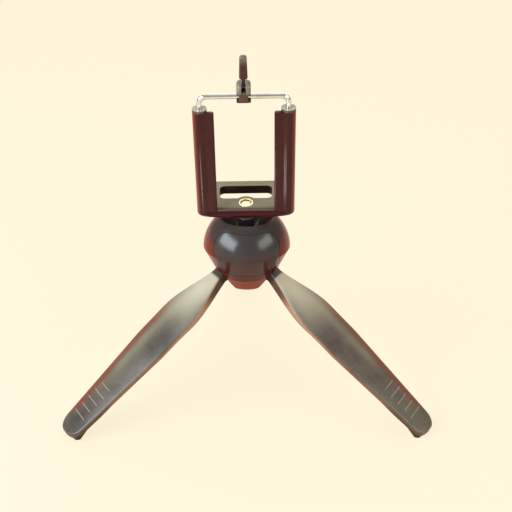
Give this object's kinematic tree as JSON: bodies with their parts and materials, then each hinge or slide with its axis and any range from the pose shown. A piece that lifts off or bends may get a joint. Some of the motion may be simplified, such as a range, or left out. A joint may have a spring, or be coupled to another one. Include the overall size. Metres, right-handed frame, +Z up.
{
  "type": "camera tripod",
  "caption": "Small table tripod with fold-down paddle legs, a round ball head with a release button and a fold-flat sprung phone holder.",
  "frame": {"origin": "On the floor, under the middle of the whole stand's outline seen from above.", "axes": "+Z up. The holder's back faces -Y, where the front button is, and two legs reach towards -Y; the third leg points along +Y. +X is to the right when one looks along +Y."},
  "size_m": [0.2196, 0.1924, 0.2196],
  "materials": {
    "black_shell_plastic": "moulded, glossy black-brown",
    "black_button_plastic": "moulded, glossy charcoal",
    "black_cap_plastic": "moulded, glossy",
    "zinc_plated_steel": "zinc plated",
    "acetal": "smooth moulded acetal",
    "spring_steel": "drawn spring wire",
    "blackened_ball": "smooth moulded nylon",
    "flange_plastic": "satin moulded",
    "black_rubber": "matt rubber",
    "plate_plastic": "satin moulded plastic",
    "brass": "turned brass",
    "chromed_steel": "bright chrome plate",
    "frame_plastic": "moulded, glossy dark maroon-brown",
    "cap_bush_plastic": "moulded bush",
    "clip_plastic": "satin moulded plastic",
    "leg_plastic": "satin moulded plastic"
  },
  "bodies": {
    "housing": {"housing_upper_shell": "black_shell_plastic", "housing_lower_shell": "black_shell_plastic", "bottom_cap": "black_cap_plastic", "housing_screws": "zinc_plated_steel", "left_leg_pin": "zinc_plated_steel", "right_leg_pin": "zinc_plated_steel", "rear_leg_pin": "zinc_plated_steel"},
    "button": {"push_button": "black_button_plastic"},
    "brake": {"brake_shoe": "acetal", "brake_spring": "spring_steel"},
    "seat": {"ball_seat_ring": "acetal"},
    "ball": {"ball_stud": "blackened_ball", "stud_flange": "flange_plastic", "flange_pad": "black_rubber", "camera_screw": "zinc_plated_steel"},
    "plate": {"base_plate": "plate_plastic", "brass_insert": "brass", "plate_hinge_pins": "chromed_steel"},
    "frame": {"holder_frame": "frame_plastic", "tube_caps": "cap_bush_plastic"},
    "wire": {"wire_bracket": "chromed_steel", "stop_washers": "zinc_plated_steel", "plunger_springs": "spring_steel"},
    "clip": {"clip_body": "clip_plastic", "jaw_pin": "chromed_steel"},
    "jaw": {"clip_jaw": "clip_plastic"},
    "left_leg": {"left_leg": "leg_plastic", "left_foot_pad": "black_rubber"},
    "right_leg": {"right_leg": "leg_plastic", "right_foot_pad": "black_rubber"},
    "rear_leg": {"rear_leg": "leg_plastic", "rear_foot_pad": "black_rubber"}
  },
  "joints": [
    {"name": "left_leg_fold", "type": "hinge", "parent": "housing", "child": "left_leg", "pos_m": [-0.01091, -0.03423, 0.08034], "axis": [0.5, -0.866, 0], "range_deg": [0, 53]},
    {"name": "right_leg_fold", "type": "hinge", "parent": "housing", "child": "right_leg", "pos_m": [0.01091, -0.03423, 0.08034], "axis": [0.5, 0.866, 0], "range_deg": [0, 53]},
    {"name": "rear_leg_fold", "type": "hinge", "parent": "housing", "child": "rear_leg", "pos_m": [0, -0.01533, 0.08034], "axis": [-1, 0, 0], "range_deg": [0, 53]},
    {"name": "button_press", "type": "slide", "parent": "housing", "child": "button", "axis": [0, 1, 0], "range_m": [0, 0.0018], "stiffness_N_per_m": 800, "springref_m": -0.002},
    {"name": "brake_release", "type": "slide", "parent": "housing", "child": "brake", "axis": [0, 0, -1], "range_m": [0, 0.0005], "deforming": ["brake_spring"]},
    {"name": "head_pan", "type": "hinge", "parent": "housing", "child": "seat", "pos_m": [0, -0.02793, 0.09374], "axis": [0, 0, 1], "continuous": true},
    {"name": "ball_tilt", "type": "hinge", "parent": "seat", "child": "ball", "pos_m": [0, -0.02793, 0.09374], "axis": [0.9978, -0.0669, 0], "range_deg": [-29, 8]},
    {"name": "holder_turn", "type": "hinge", "parent": "ball", "child": "plate", "pos_m": [0, -0.02793, 0.09374], "axis": [-0.0122, -0.1822, 0.9832], "continuous": true},
    {"name": "frame_fold", "type": "hinge", "parent": "plate", "child": "frame", "pos_m": [-0.00036, -0.03707, 0.12164], "axis": [-0.9999, 0.0022, -0.012], "range_deg": [0, 90]},
    {"name": "wire_slide", "type": "slide", "parent": "frame", "child": "wire", "axis": [-0.0122, -0.1822, 0.9832], "range_m": [0, 0.04], "stiffness_N_per_m": 200, "springref_m": -0.015, "deforming": ["plunger_springs"]},
    {"name": "clip_swivel", "type": "hinge", "parent": "wire", "child": "clip", "pos_m": [-0.00128, -0.05285, 0.19529], "axis": [0.9999, -0.0022, 0.012], "continuous": true},
    {"name": "jaw_fold", "type": "hinge", "parent": "clip", "child": "jaw", "pos_m": [-0.00134, -0.0524, 0.20107], "axis": [-0.9999, 0.0022, -0.012], "range_deg": [0, 90]}
  ],
  "couplings": [
    {"joint": "brake_release", "follows": "button_press", "ratio": 0.25}
  ]
}
